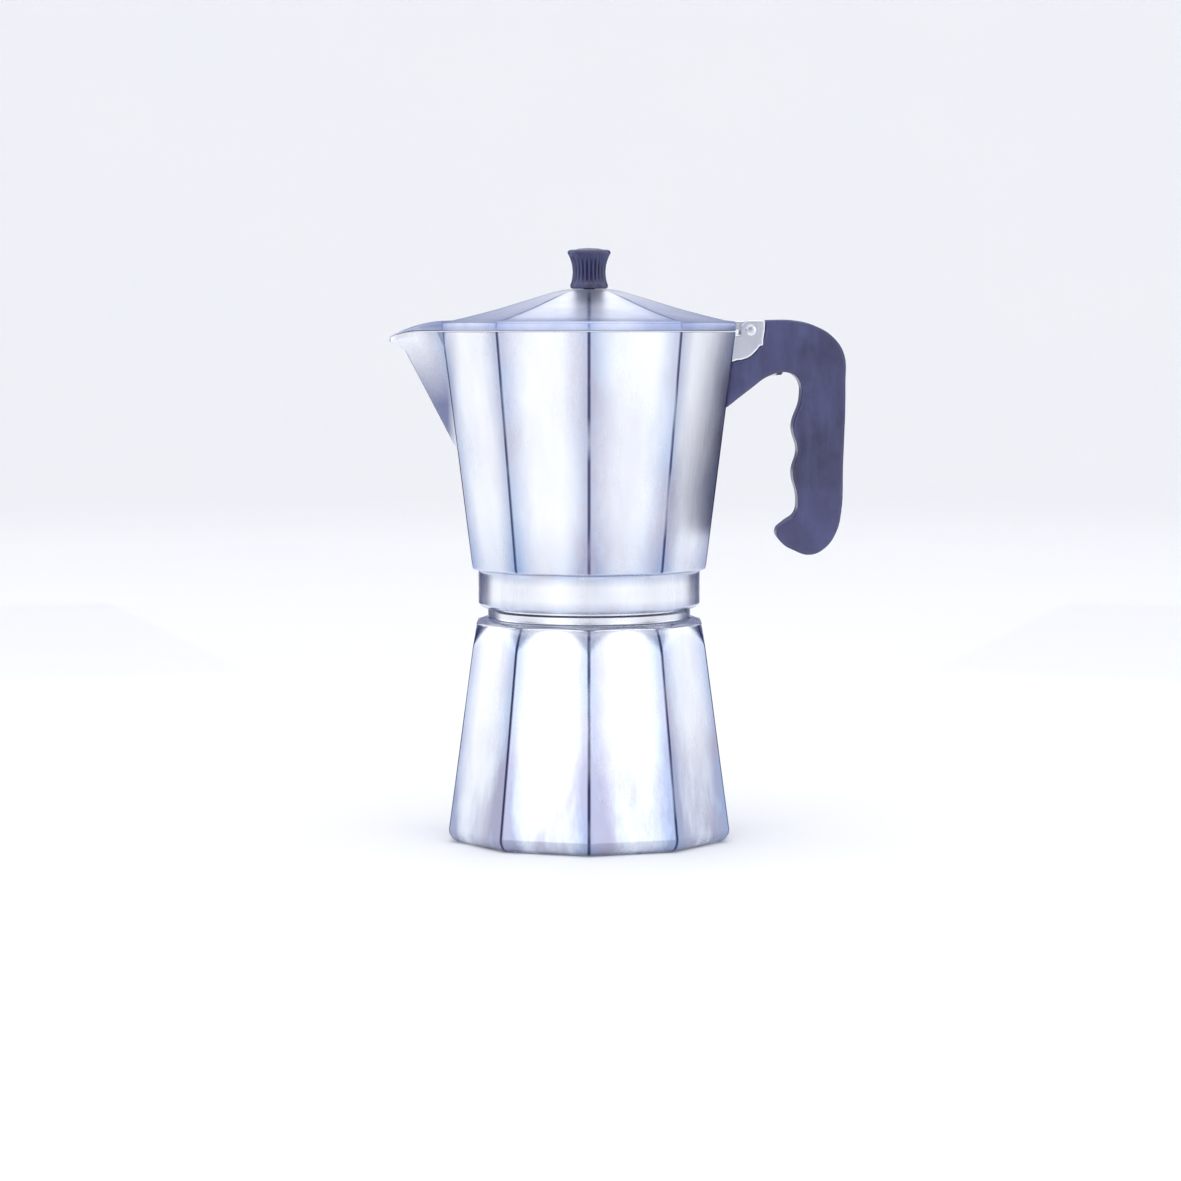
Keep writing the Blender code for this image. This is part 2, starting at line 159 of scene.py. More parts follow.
def cast_metal(name, facets):
    """Polished cast aluminium. Painted shade makes the facets whiter in the middle and bluer at
    their edges, and a thin painted dark line along each ridge stands in for its dark reflection."""
    made, wire, shader, place = finish(name, 1.0, 0.25)
    split = wire.node("ShaderNodeSeparateXYZ", None, {0: place}).socket.node
    x, y, z = (Wire(wire.tree, socket) for socket in split.outputs)
    cloud = grain(wire, place, (1, 1, 0.35), 26.0, 4.0, 0.6)
    veil = grain(wire, place, (1, 1, 0.3), 75.0, 4.0, 0.6)
    streak = grain(wire, place, (1, 1, 0.02), 900.0, 2.0)
    pores = grain(wire, place, (1, 1, 1), 2600.0, 2.0)
    shade = 0.30 * spread(cloud, 0.42, 0.68) + 0.16 * spread(veil, 0.42, 0.7)
    if facets:
        step = 2 * math.pi / FACETS
        turn = y.math("ARCTAN2", x) / step
        beside = abs(turn.math("FRACT") - 0.5)
        away = (x * x + y * y).math("SQRT")
        from_ridge = away * (beside * step).math("SINE")
        below = z < WAIST
        boiler_face = spread(away + 0.1325 * z, 0.0493, 0.0499)
        collector_face = spread(away - 0.1229 * z, 0.0281, 0.0287)
        outside = below * boiler_face + (1.0 - below) * collector_face
        # Painted shade: each facet turns bluer towards its two ridges, in a band whose width
        # changes.
        wide = 0.0042 + 0.0085 * veil + 0.004 * cloud
        wash = 1.0 - spread(from_ridge / wide, 0.15, 1.0)
        # Painted shade: patchily bluer towards the foot of the boiler, and in a band on the upper
        # body just above the collar.
        foot = 1.0 - spread(z, 0.002, 0.046)
        skirt = (1.0 - spread(z, 0.098, 0.118)) * spread(z, 0.0965, 0.098)
        round_part = spread(z, 0.0755, 0.079) * (1.0 - spread(z, 0.0972, 0.0982))
        wash = wash**1.5 * (1.0 - round_part) * outside
        # Painted shade: the round collar turns bluer towards its top and bottom edges.
        collar = spread(z, 0.083, 0.0835) * (1.0 - spread(z, 0.0972, 0.0976))
        shade = shade + 0.75 * collar * spread(abs(z - 0.0903) + veil * 0.002, 0.0035, 0.0075)
        # Painted shade: the bands by the ridges, towards the foot and above the collar are added to
        # the mottle.
        shade = shade * 0.8 + 0.62 * wash + 0.72 * foot * spread(veil, 0.3, 0.6) + 0.3 * skirt
    blue = blended(wire, spread(veil, 0.4, 0.6), (0.31, 0.41, 0.62, 1), (0.40, 0.40, 0.53, 1))
    colour = blended(wire, shade, (0.90, 0.91, 0.94, 1), blue)
    if facets:
        # Painted dark line along each ridge, in place of the dark reflection on the rounded edge;
        # it breaks up along its length.
        along = grain(wire, place, (1, 1, 0.3), 90.0, 2.0)
        line = (1.0 - spread(from_ridge, 0.00025, 0.00085)) * spread(along, 0.34, 0.5)
        lined = 0.9 * line * (1.0 - round_part) * outside
        colour = blended(wire, lined, colour, (0.02, 0.025, 0.11, 1))
        # Painted shade on the underside of the spout's beak, darker and bluer from about 140 to 175
        # mm up.
        stain_and_shade = spread(x * -1.0, 0.0465, 0.0505) * (1.0 - spread(z + cloud * 0.02, 0.166, 0.190))
        beak_shaded = 0.85 * stain_and_shade * spread(z, 0.134, 0.146)
        colour = blended(wire, beak_shaded, colour, (0.07, 0.09, 0.25, 1))
    rough = 0.20 + 0.06 * streak + 0.08 * spread(cloud, 0.35, 0.7)
    surface = dented(wire, streak * 0.5 + pores * 0.4 + cloud, 0.1, 0.0002)
    feed(wire, shader, Base_Color=colour, Roughness=rough, Normal=surface)
    return made


facet_metal = cast_metal("polished_cast_facets", True)

COLUMNS = ("radius", "height", "corner", "lathe", "thread", "tip", "slope", "start", "rate", "rib")


def row(radius, height, corner=None, lathe=100.0, thread=0.0, tip=0.0, slope=1.2, start=1000.0,
        rate=0.0, rib=0.0):
    """One ring of a shell, in millimetres. No corner radius makes it a plain circle."""
    corner = radius if corner is None else corner
    return np.array([radius, height, corner, lathe, thread, tip, slope, start, rate, rib], float)


def eased(rows, radius, count=4, ring=False):
    """The same rows with every corner of the profile rounded off."""
    made = []
    last = len(rows)
    for i, here in enumerate(rows):
        if not ring and i in (0, last - 1):
            made.append(here)
            continue
        before, after = rows[i - 1], rows[(i + 1) % last]
        back, on = before - here, after - here
        reach_back = min(0.45, radius / max(np.hypot(*back[:2]), 1e-9))
        reach_on = min(0.45, radius / max(np.hypot(*on[:2]), 1e-9))
        a, b = here + back * reach_back, here + on * reach_on
        for k in range(count + 1):
            t = k / count
            made.append((1 - t) ** 2 * a + 2 * t * (1 - t) * here + t * t * b)
    return made


def fine(rows, step):
    """The same rows, with more added so that neighbours are at most one step apart."""
    made = [rows[0]]
    for before, after in zip(rows, rows[1:]):
        count = max(1, math.ceil(np.hypot(*(after - before)[:2]) / step))
        made += [before + (after - before) * k / count for k in range(1, count + 1)]
    return made


def facet_turns(keel=False):
    """Angles round the axis, close together where two facets meet and along the keel."""
    half = [0, 3, 6, 9, 12, 14.4, 15.6, 16.3, 16.8, 17.2, 17.5, 17.75, 17.9, 18]
    turns = set()
    for side in range(FACETS):
        middle = FACET_DEGREES * side
        for offset in half:
            turns |= {round(middle + offset, 3), round((middle - offset) % 360, 3)}
    turns.discard(360.0)
    if keel:
        for count, step in ((45, 0.4), (10, 0.15)):
            turns |= {round(180 + k * step, 3) for k in range(-count, count + 1)}
    return [math.radians(t) for t in sorted(turns)]


def round_turns(count):
    """Evenly spaced angles round the axis."""
    return [2 * math.pi * k / count for k in range(count)]


def shaped_by_rule(tree_name):
    """Geometry nodes that turn a plain round shell into facets, a thread, a spout and ribs."""
    tree = bpy.data.node_groups.new(tree_name, "GeometryNodeTree")
    face = tree.interface
    face.new_socket("Geometry", in_out="INPUT", socket_type="NodeSocketGeometry")
    ids = {}
    for label, kind, value in (
        ("Sides", "NodeSocketInt", FACETS),
        ("Thread Pitch", "NodeSocketFloat", 0.003),
        ("Keel Softness", "NodeSocketFloat", 0.03),
        ("Blend", "NodeSocketFloat", 0.0008),
        ("Lathe Blend", "NodeSocketFloat", 0.0012),
        ("Rib Count", "NodeSocketInt", 24),
    ):
        made = face.new_socket(label, in_out="INPUT", socket_type=kind)
        made.default_value = value
        ids[label] = made.identifier
    made = face.new_socket("Material", in_out="INPUT", socket_type="NodeSocketMaterial")
    ids["Material"] = made.identifier
    face.new_socket("Geometry", in_out="OUTPUT", socket_type="NodeSocketGeometry")
    wire = Wire(tree)
    entry = tree.nodes.new("NodeGroupInput")
    given = {socket.name: Wire(tree, socket) for socket in entry.outputs}

    def named(label):
        made = tree.nodes.new("GeometryNodeInputNamedAttribute")
        made.data_type = "FLOAT"
        made.inputs["Name"].default_value = label
        return Wire(tree, made.outputs["Attribute"])

    position = wire.node("GeometryNodeInputPosition")
    split = wire.node("ShaderNodeSeparateXYZ", None, {0: position}).socket.node
    x, y, z = (Wire(tree, socket) for socket in split.outputs)
    apothem = (x * x + y * y).math("SQRT")
    turn = y.math("ARCTAN2", x)
    step = 2 * math.pi / (given["Sides"] + 0.0)
    across = turn - step * (turn / step).math("ROUND")
    corner = named("corner").math("MINIMUM", apothem)
    inner = apothem - corner
    from_edge = step * 0.5 - abs(across)
    reach = inner / (step * 0.5).math("COSINE")
    flat_half = inner * (step * 0.5).math("TANGENT")
    tangent = (flat_half / apothem.math("MAXIMUM", 1e-6)).math("ARCTANGENT")
    flat = apothem / across.math("COSINE")
    sag = reach * from_edge.math("SINE")
    arc = (corner * corner - sag * sag).math("MAXIMUM", 0.0).math("SQRT")
    bow = reach * from_edge.math("COSINE") + arc
    on_flat = abs(across) < tangent
    radius = bow + (flat - bow) * on_flat
    radius = radius.math("SMOOTH_MIN", named("lathe"), given["Lathe Blend"])
    tip = named("tip")
    aside = y.math("ARCTAN2", x * -1.0)
    slope = named("slope")
    soft = given["Keel Softness"]
    bend = (aside.math("SINE") * aside.math("SINE") + soft * soft).math("SQRT")
    beak = tip * (slope * soft + 1.0) / (aside.math("COSINE") + slope * bend).math("MAXIMUM", 0.2)
    beak = beak * (abs(aside) < step * 0.5 + 0.001)
    has_beak = tip.math("GREATER_THAN", 0.001)
    radius = radius.math("SMOOTH_MAX", beak, given["Blend"] * has_beak + 1e-6)
    wave = (z / given["Thread Pitch"] - turn / (2 * math.pi)) * (2 * math.pi)
    crest = spread(wave.math("COSINE"), -0.55, 0.55)
    radius = radius + named("thread") * crest
    ribs = (turn * (given["Rib Count"] + 0.0)).math("COSINE")
    radius = radius - named("rib") * (1.0 - ribs) ** 1.5 * 0.35
    past = (radius - named("start")).math("MAXIMUM", 0.0)
    height = z - past * past * named("rate")
    where = {"X": radius * turn.math("COSINE"), "Y": radius * turn.math("SINE"), "Z": height}
    where = wire.node("ShaderNodeCombineXYZ", None, where)
    values = {"Geometry": given["Geometry"], "Position": where}
    moved = wire.node("GeometryNodeSetPosition", None, values)
    whole = wire.node("GeometryNodeRealizeInstances", None, {0: moved})
    values = {"Geometry": whole, "Material": given["Material"]}
    painted = wire.node("GeometryNodeSetMaterial", None, values)
    leave = tree.nodes.new("NodeGroupOutput")
    tree.links.new(painted.socket, leave.inputs[0])
    return tree, ids


CASTING_RULE, RULE_IDS = shaped_by_rule("ten_sided_casting")


def added(name, data):
    """A new object in the scene."""
    made = bpy.data.objects.new(name, data)
    bpy.context.scene.collection.objects.link(made)
    return made


def outward(mesh):
    """Turns the faces of one closed shell to point out."""
    shape = bmesh.new()
    shape.from_mesh(mesh)
    if shape.calc_volume(signed=True) < 0:
        bmesh.ops.reverse_faces(shape, faces=shape.faces)
    shape.to_mesh(mesh)
    shape.free()


def settled(piece, sharp=38.0):
    """The piece with its modifiers applied, shaded smooth up to an angle."""
    bpy.context.view_layer.update()
    graph = bpy.context.evaluated_depsgraph_get()
    mesh = bpy.data.meshes.new_from_object(piece.evaluated_get(graph))
    for column in COLUMNS:
        if column in mesh.attributes:
            mesh.attributes.remove(mesh.attributes[column])
    piece.modifiers.clear()
    piece.data = mesh
    mesh.transform(piece.matrix_world)
    piece.matrix_world.identity()
    piece.location = (0, 0, 0)
    piece.rotation_euler = (0, 0, 0)
    outward(mesh)
    mesh.shade_smooth()
    mesh.set_sharp_from_angle(angle=math.radians(sharp))
    return piece


def shell(name, rows, turns, look, ring=False, inputs=None):
    """Rows swept round the axis, then shaped by the casting rule."""
    to_metres = [MM, MM, MM, MM, MM, MM, 1, MM, 1 / MM, MM]
    table = np.array(rows) * to_metres
    count = len(turns)
    points, faces, spans, values = [], [], [], []
    for line in table:
        if line[0] < 1e-7:
            spans.append((len(points), 1))
            points.append((0, 0, line[1]))
            values.append(line)
            continue
        spans.append((len(points), count))
        points += [(line[0] * math.cos(t), line[0] * math.sin(t), line[1]) for t in turns]
        values += [line] * count
    pairs = list(zip(spans, spans[1:]))
    if ring:
        pairs.append((spans[-1], spans[0]))
    for (a, wide_a), (b, wide_b) in pairs:
        for k in range(count):
            on = (k + 1) % count
            if wide_a == 1:
                faces.append((a, b + on, b + k))
            elif wide_b == 1:
                faces.append((a + k, a + on, b))
            else:
                faces.append((a + k, a + on, b + on, b + k))
    mesh = bpy.data.meshes.new(name)
    mesh.from_pydata(points, [], faces)
    values = np.array(values, np.float32)
    for index, column in enumerate(COLUMNS):
        made = mesh.attributes.new(column, "FLOAT", "POINT")
        made.data.foreach_set("value", np.ascontiguousarray(values[:, index]))
    piece = added(name, mesh)
    rule = piece.modifiers.new("casting", "NODES")
    rule.node_group = CASTING_RULE
    rule[RULE_IDS["Material"]] = look
    for label, value in (inputs or {}).items():
        rule[RULE_IDS[label]] = value
    return settled(piece)


BOILER_FOOT, BOILER_TOP = 4.5, 79.2  # millimetres: where the straight facets start and end
FOOT_SIDE, TOP_SIDE = 50.1, 40.2  # from the axis to the middle of a facet at those heights
EDGE_ROUND = 2.4  # radius of the soft ridge between two facets
THREAD_STEP = 0.22  # at most this far between two rings of a thread


def boiler_side(height):
    """From the axis to the middle of a facet, at a height."""
    rise = (height - BOILER_FOOT) / (BOILER_TOP - BOILER_FOOT)
    return FOOT_SIDE + (TOP_SIDE - FOOT_SIDE) * rise


boiler_rows = [row(0, 0.7), row(37.6, 0.7), row(38.4, 0.0), row(44.6, 0.0)]
boiler_rows += [row(46.9, 0.0, 7), row(48.8, 1.2, 3.5), row(49.9, 3.2, 1.8)]
boiler_rows += [row(FOOT_SIDE, 4.6, EDGE_ROUND)]
boiler_rows += [row(boiler_side(height), height, EDGE_ROUND) for height in (30, 64)]
shoulder = [(69, 44.4), (70, 43.9), (71.5, 43.15), (73, 42.5), (74.5, 41.9), (76, 41.3)]
shoulder += [(77.2, 40.75), (78, 40.3)]
boiler_rows += [row(boiler_side(height), height, EDGE_ROUND, lathe) for height, lathe in shoulder]
boiler_rows += [row(39.3, 78.75), row(38.5, 79.2), row(36.9, 79.3), row(36.4, 79.8)]
boiler_rows += [row(36.4, 82.0)]
boiler_rows = eased(boiler_rows, 0.5)
threaded = [row(34.5, 82.6), row(34.5, 83.6), row(34.5, 84.6, thread=1.2)]
threaded += [row(34.5, 90.2, thread=1.2), row(34.5, 91.3), row(34.5, 91.9)]
boiler_rows += fine(threaded, THREAD_STEP)
inside = [row(34.3, 92.3), row(33.9, 92.6), row(32.3, 92.6), row(31.8, 92.1), row(31.8, 77.6)]
inside += [row(37.6, 73.6), row(46.6, 8), row(45.2, 4.4), row(41.5, 3.0), row(0, 3.0)]
boiler_rows += eased(inside, 0.5)
boiler = shell("boiler_casting", boiler_rows, facet_turns(), facet_metal)
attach(boiler, "boiler")
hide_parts("boiler")


# ---------------------------------------------------------------------------------------
# Safety valve. A brass body with six flats is screwed into a rear facet over a copper
# washer. A steel pin, held shut by a small coil spring, looks out through a retainer.

VALVE_TURN = math.radians(108)
VALVE_HEIGHT = 52.0
lean = (FOOT_SIDE - TOP_SIDE) / (BOILER_TOP - BOILER_FOOT)
valve_out = Vector((math.cos(VALVE_TURN), math.sin(VALVE_TURN), lean)).normalized()
valve_place = Vector((math.cos(VALVE_TURN), math.sin(VALVE_TURN), 0)) * boiler_side(VALVE_HEIGHT)
valve_place.z = VALVE_HEIGHT


def placed(piece, place, out):
    """Carries a piece made round the Z axis to a place and turns it to face along out."""
    turn = out.to_track_quat("Z", "Y").to_matrix().to_4x4()
    turn.translation = place * MM
    piece.data.transform(turn)


def turned_metal(name, pale, dark, rough, lines):
    """Metal off the lathe: fine rings of tool marks, a little stain, brighter where rubbed."""
    made, wire, shader, place = finish(name, 1.0, rough)
    marks = grain(wire, place, (0.06, 0.06, 1), lines, 2.0)
    stain_and_shade = grain(wire, place, (1, 1, 1), 240.0, 4.0, 0.6)
    colour = blended(wire, spread(stain_and_shade, 0.4, 0.75) * 0.5, pale, dark)
    surface = dented(wire, marks, 0.25, 0.00008)
    gloss = rough + 0.16 * marks + 0.08 * stain_and_shade
    feed(wire, shader, Base_Color=colour, Roughness=gloss, Normal=surface)
    return made


brass = turned_metal("turned_brass", (0.86, 0.66, 0.32, 1), (0.56, 0.36, 0.14, 1), 0.16, 3000.0)
steel = turned_metal("stainless_steel", (0.78, 0.79, 0.82, 1), (0.48, 0.50, 0.55, 1), 0.14, 3000.0)
copper = turned_metal("annealed_copper", (0.90, 0.52, 0.38, 1), (0.55, 0.24, 0.14, 1), 0.24, 2400.0)


def turned(name, profile, look, count=96, soft=0.15, ring=False):
    """A small lathe-turned piece with its edges broken."""
    rows = eased([row(radius, height) for radius, height in profile], soft, 3, ring)
    return shell(name, rows, round_turns(count), look, ring)


seal_shape = [(4.3, 0.25), (6.5, 0.25), (6.5, 1.15), (4.3, 1.15)]
washer = turned("valve_seal", seal_shape, copper, ring=True)
hexagon = [row(0, -4.8), row(3.6, -4.8), row(3.9, -4.3), row(3.9, 1.2), row(5.2, 1.2, 5.2)]
hexagon += [row(5.5, 1.5, 0.5, 6.2), row(5.5, 5.6, 0.5, 6.2), row(5.5, 6.1, 0.5, 6.0)]
hexagon += [row(5.2, 6.5, 5.2), row(3.0, 6.6), row(2.8, 6.3), row(2.7, 2.2), row(0, 2.2)]
valve_turns = [math.radians(3.0 * k) for k in range(120)]
six_flats = {"Sides": 6, "Lathe Blend": 0.0002}
body = shell("valve_hexagon", eased(hexagon, 0.2, 3), valve_turns, brass, inputs=six_flats)
cap = turned("valve_ring", [(1.2, 4.4), (2.5, 4.4), (2.5, 5.8), (1.2, 5.8)], brass, ring=True)
stem = [(0, 2.3), (0.8, 2.3), (0.8, 7.4), (0.55, 7.95), (0, 8.0)]
pin = turned("valve_stem", stem, steel, 48, 0.1)
for piece, body_name, slot, node in (
    (washer, "boiler", "copper", "valve_washer"),
    (body, "boiler", "brass", "valve_body"),
    (cap, "boiler", "brass", "valve_retainer"),
    (pin, "relief_pin", "stainless_steel", "valve_pin"),
):
    placed(piece, valve_place, valve_out)
    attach(piece, body_name)
    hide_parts(node)
NODES["valve_spring"].data.materials.clear()
NODES["valve_spring"].data.materials.append(steel)


# ---------------------------------------------------------------------------------------
# Funnel. A spun aluminium cup whose flange rests on the boiler's neck, with a drawn stem
# swaged into its throat and a pressed sieve at the bottom of the cup.


def spun_metal(name):
    """Bright spun aluminium with the spinning tool's rings."""
    made, wire, shader, place = finish(name, 1.0, 0.25)
    rings = grain(wire, place, (0.02, 0.02, 1), 1500.0, 2.0)
    haze = grain(wire, place, (1, 1, 0.6), 60.0, 4.0, 0.6)
    dulled = spread(haze, 0.35, 0.7) * 0.6
    colour = blended(wire, dulled, (0.88, 0.89, 0.92, 1), (0.62, 0.66, 0.76, 1))
    surface = dented(wire, rings + haze * 0.8, 0.2, 0.0001)
    rough = 0.2 + 0.14 * rings + 0.08 * haze
    feed(wire, shader, Base_Color=colour, Roughness=rough, Normal=surface)
    return made


spun = spun_metal("spun_aluminium")
cup_shape = [(30.2, 93.6), (33.7, 93.6), (34.0, 93.3), (34.0, 93.0), (31.3, 92.8), (31.0, 92.4)]
cup_shape += [(31.0, 76.0), (31.15, 75.2), (31.0, 74.4), (30.4, 73.2), (6.4, 61.9), (6.1, 61.4)]
cup_shape += [(6.1, 56.7), (5.3, 56.6), (5.3, 62.4), (29.2, 73.6), (30.0, 74.6)]
cup = turned("funnel_cup_spun", cup_shape[::-1], spun, 180, 0.35, True)
tube_shape = [(4.2, 62.2), (5.0, 62.2), (5.0, 6.8), (4.85, 6.5), (4.3, 6.5), (4.2, 6.8)]
tube = turned("funnel_stem_drawn", tube_shape[::-1], spun, 72, 0.1, True)


def joined(wire, *parts):
    """Geometry nodes that put several geometries into one."""
    made = wire.tree.nodes.new("GeometryNodeJoinGeometry")
    for part in parts:
        wire.tree.links.new(part.socket, made.inputs[0])
    return Wire(wire.tree, made.outputs[0])


def pierced_disc_tree():
    """Geometry nodes for a round plate with rings of small holes."""
    tree = bpy.data.node_groups.new("pierced_disc", "GeometryNodeTree")
    face = tree.interface
    ids = {}
    for label, kind, value in (
        ("Radius", "NodeSocketFloat", 0.029),
        ("Thickness", "NodeSocketFloat", 0.0006),
        ("Height", "NodeSocketFloat", 0.0),
        ("Pierced Radius", "NodeSocketFloat", 0.026),
        ("Hole Radius", "NodeSocketFloat", 0.0005),
        ("Hole Spacing", "NodeSocketFloat", 0.0026),
        ("Material", "NodeSocketMaterial", None),
    ):
        made = face.new_socket(label, in_out="INPUT", socket_type=kind)
        if value is not None:
            made.default_value = value
        ids[label] = made.identifier
    face.new_socket("Geometry", in_out="OUTPUT", socket_type="NodeSocketGeometry")
    wire = Wire(tree)
    entry = tree.nodes.new("NodeGroupInput")
    given = {socket.name: Wire(tree, socket) for socket in entry.outputs}
    round_edge = {"Resolution": 120, "Radius": given["Radius"]}
    edge = wire.node("GeometryNodeCurvePrimitiveCircle", None, round_edge)
    span = given["Pierced Radius"] * 2.0
    count = (span / given["Hole Spacing"]).math("FLOOR") + 1.0
    sizes = {"Size X": span, "Size Y": span * 0.866, "Vertices X": count, "Vertices Y": count}
    grid = wire.node("GeometryNodeMeshGrid", None, sizes)
    index = wire.node("GeometryNodeInputIndex")
    odd = index.math("MODULO", count).math("MODULO", 2.0)
    shift = wire.node("ShaderNodeCombineXYZ", None, {"Y": odd * given["Hole Spacing"] * 0.433})
    grid = wire.node("GeometryNodeSetPosition", None, {"Geometry": grid, "Offset": shift})
    place = wire.node("GeometryNodeInputPosition")
    far = wire.node("ShaderNodeVectorMath", {"operation": "LENGTH"}, {0: place}, out="Value")
    outside = far.math("GREATER_THAN", given["Pierced Radius"])
    spare = {"Geometry": grid, "Selection": outside}
    dots = wire.node("GeometryNodeDeleteGeometry", {"domain": "POINT"}, spare)
    round_hole = {"Resolution": 10, "Radius": given["Hole Radius"]}
    hole = wire.node("GeometryNodeCurvePrimitiveCircle", None, round_hole)
    holes = wire.node("GeometryNodeInstanceOnPoints", None, {"Points": dots, "Instance": hole})
    holes = wire.node("GeometryNodeRealizeInstances", None, {0: holes})
    sheet = wire.node("GeometryNodeFillCurve", None, {"Curve": joined(wire, edge, holes)})
    up = wire.node("ShaderNodeCombineXYZ", None, {"Z": given["Thickness"]})
    raised_sheet = {"Mesh": sheet, "Offset": up, "Individual": False}
    top = wire.node("GeometryNodeExtrudeMesh", {"mode": "FACES"}, raised_sheet)
    under = wire.node("GeometryNodeFlipFaces", None, {"Mesh": sheet})
    both = {"Geometry": joined(wire, top, under), "Distance": 1e-6}
    closed = wire.node("GeometryNodeMergeByDistance", None, both)
    raised = wire.node("ShaderNodeCombineXYZ", None, {"Z": given["Height"]})
    lifted = wire.node("GeometryNodeSetPosition", None, {"Geometry": closed, "Offset": raised})
    whole = wire.node("GeometryNodeRealizeInstances", None, {0: lifted})
    values = {"Geometry": whole, "Material": given["Material"]}
    painted = wire.node("GeometryNodeSetMaterial", None, values)
    leave = tree.nodes.new("NodeGroupOutput")
    tree.links.new(painted.socket, leave.inputs[0])
    return tree, ids


DISC_TREE, DISC_IDS = pierced_disc_tree()


def pierced(name, look, **sizes):
    """A thin round plate with rings of holes, its sizes in millimetres."""
    piece = added(name, bpy.data.meshes.new(name))
    rule = piece.modifiers.new("piercing", "NODES")
    rule.node_group = DISC_TREE
    rule[DISC_IDS["Material"]] = look
    for label, value in sizes.items():
        rule[DISC_IDS[label.replace("_", " ")]] = value * MM
    return settled(piece)


sieve = pierced("funnel_sieve_plate", spun, Radius=29.5, Thickness=0.7, Height=74.95,
                Pierced_Radius=26.5, Hole_Radius=0.55, Hole_Spacing=2.9)
for piece, node in ((cup, "funnel_cup"), (tube, "funnel_stem"), (sieve, "funnel_sieve")):
    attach(piece, "funnel")
    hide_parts(node)


# ---------------------------------------------------------------------------------------
# Seal. A moulded off-white silicone ring and a pressed filter plate, pushed up together
# against the underside of the collector.

silicone, wire, shader, place = finish("moulded_silicone", 0.0, 0.55)
dust = grain(wire, place, (1, 1, 1), 300.0, 5.0, 0.65)
yellowed = grain(wire, place, (1, 1, 1), 50.0, 3.0)
colour = blended(wire, spread(yellowed, 0.35, 0.7), (0.86, 0.85, 0.80, 1), (0.78, 0.74, 0.62, 1))
dusty = dented(wire, dust, 0.15, 0.0001)
feed(wire, shader, Base_Color=colour, Roughness=0.42 + 0.25 * dust, Normal=dusty)
ring_low, ring_high = (corner[2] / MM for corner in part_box("gasket"))
ring_shape = [(28.6, ring_low), (34.9, ring_low), (34.9, ring_high), (28.6, ring_high)]
gasket = turned("gasket_ring", ring_shape, silicone, 160, 0.5, True)
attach(gasket, "gasket")
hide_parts("gasket")

plate_rim = [(25.6, 95.3), (26.9, 95.3), (28.1, 97.1), (33.6, 97.1), (33.8, 97.3), (33.8, 97.5)]
plate_rim += [(33.6, 97.7), (27.6, 97.7), (26.2, 95.9), (25.6, 95.9)]
rim_ring = turned("filter_rim", plate_rim, spun, 160, 0.2, True)
plate = pierced("filter_plate_pierced", spun, Radius=25.7, Thickness=0.55, Height=95.32,
                Pierced_Radius=23.5, Hole_Radius=0.5, Hole_Spacing=2.7)
for piece in (plate, rim_ring):
    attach(piece, "filter")
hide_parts("filter_plate")


# ---------------------------------------------------------------------------------------
# Collector. The upper pot is one aluminium casting: a flared ten-sided body with a beak of
# a spout drawn out of one facet, and a turned collar with the inner thread below it.

BODY_FOOT, RIM = 97.2, 181.8  # millimetres: where the body starts and its top edge
BODY_FOOT_SIDE, RIM_SIDE = 41.4, 51.8  # from the axis to the middle of a facet there
WALL = 2.5
BEAK_HALF, INNER_BEAK_HALF = 16.3, 14.0  # half the beak's width at the rim, outside and inside
LIP_START = 176.5  # from this height up, the spout's tip bends down
BEND_FROM, BEND = 61.0, 0.0225  # how far out the bend starts, and how strong it is


def body_side(height):
    """From the axis to the middle of a facet of the body, at a height."""
    rise = (height - BODY_FOOT) / (RIM - BODY_FOOT)
    return BODY_FOOT_SIDE + (RIM_SIDE - BODY_FOOT_SIDE) * rise


def along(height, stops):
    """The value at a height on a line through stops."""
    return float(np.interp(height, [stop[0] for stop in stops], [stop[1] for stop in stops]))


keel_line = [(134.0, 43.0), (138.2, 46.4), (142.0, 48.7), (175.4, 66.0), (177.2, 68.3)]
keel_line += [(178.6, 70.6), (179.8, 71.45), (RIM, 71.3)]
inner_keel = [(137.0, 40.5), (142.4, 44.3), (175.6, 62.8), (177.8, 64.4), (179.2, 66.6)]
inner_keel += [(180.4, 69.0), (RIM, 69.9)]


def spout_row(height, wall=0.0):
    """A ring of the body at a height, on its outer face or, with a wall, on its inner one."""
    keel = inner_keel if wall else keel_line
    first = keel[0][0]
    side = body_side(height) - wall
    tip = along(height, keel)
    wide = (INNER_BEAK_HALF if wall else BEAK_HALF) * (height - first) / (RIM - first)
    slope = (tip - side) / wide if wide > 4 else 1.1
    fall = min(1.0, max(0.0, (height - LIP_START) / (RIM - LIP_START)))
    corner = 3.0 if wall else EDGE_ROUND
    return row(side, height, corner, tip=tip, slope=slope, start=BEND_FROM, rate=BEND * fall)


underside = [row(4.3, 98.0), row(35.0, 98.0), row(35.2, 97.7), row(35.2, 93.4), row(37.2, 92.8)]
inner_thread = [row(37.2, 92.7), row(37.2, 91.6, thread=-1.0)]
inner_thread += [row(37.2, 85.9, thread=-1.0), row(37.2, 84.9)]
collector_rows = eased(underside, 0.3) + fine(inner_thread, THREAD_STEP)
collar = [row(37.2, 84.6), row(37.4, 83.5), row(38.7, 83.5), row(39.8, 84.7), row(39.8, 95.9)]
collar += [row(40.0, 96.9), row(40.6, BODY_FOOT, 8), row(41.35, 97.7, 3.0)]
collar += [row(body_side(height), height, 1.5) for height in (99.2, 110)]
collector_rows += eased(collar, 0.4)
heights = [135.0, 136.0, *np.arange(137.0, 175.1, 0.95), *np.arange(175.5, 181.5, 0.3)]
collector_rows += [spout_row(height) for height in heights]
top = spout_row(RIM)
top[0] -= 0.15
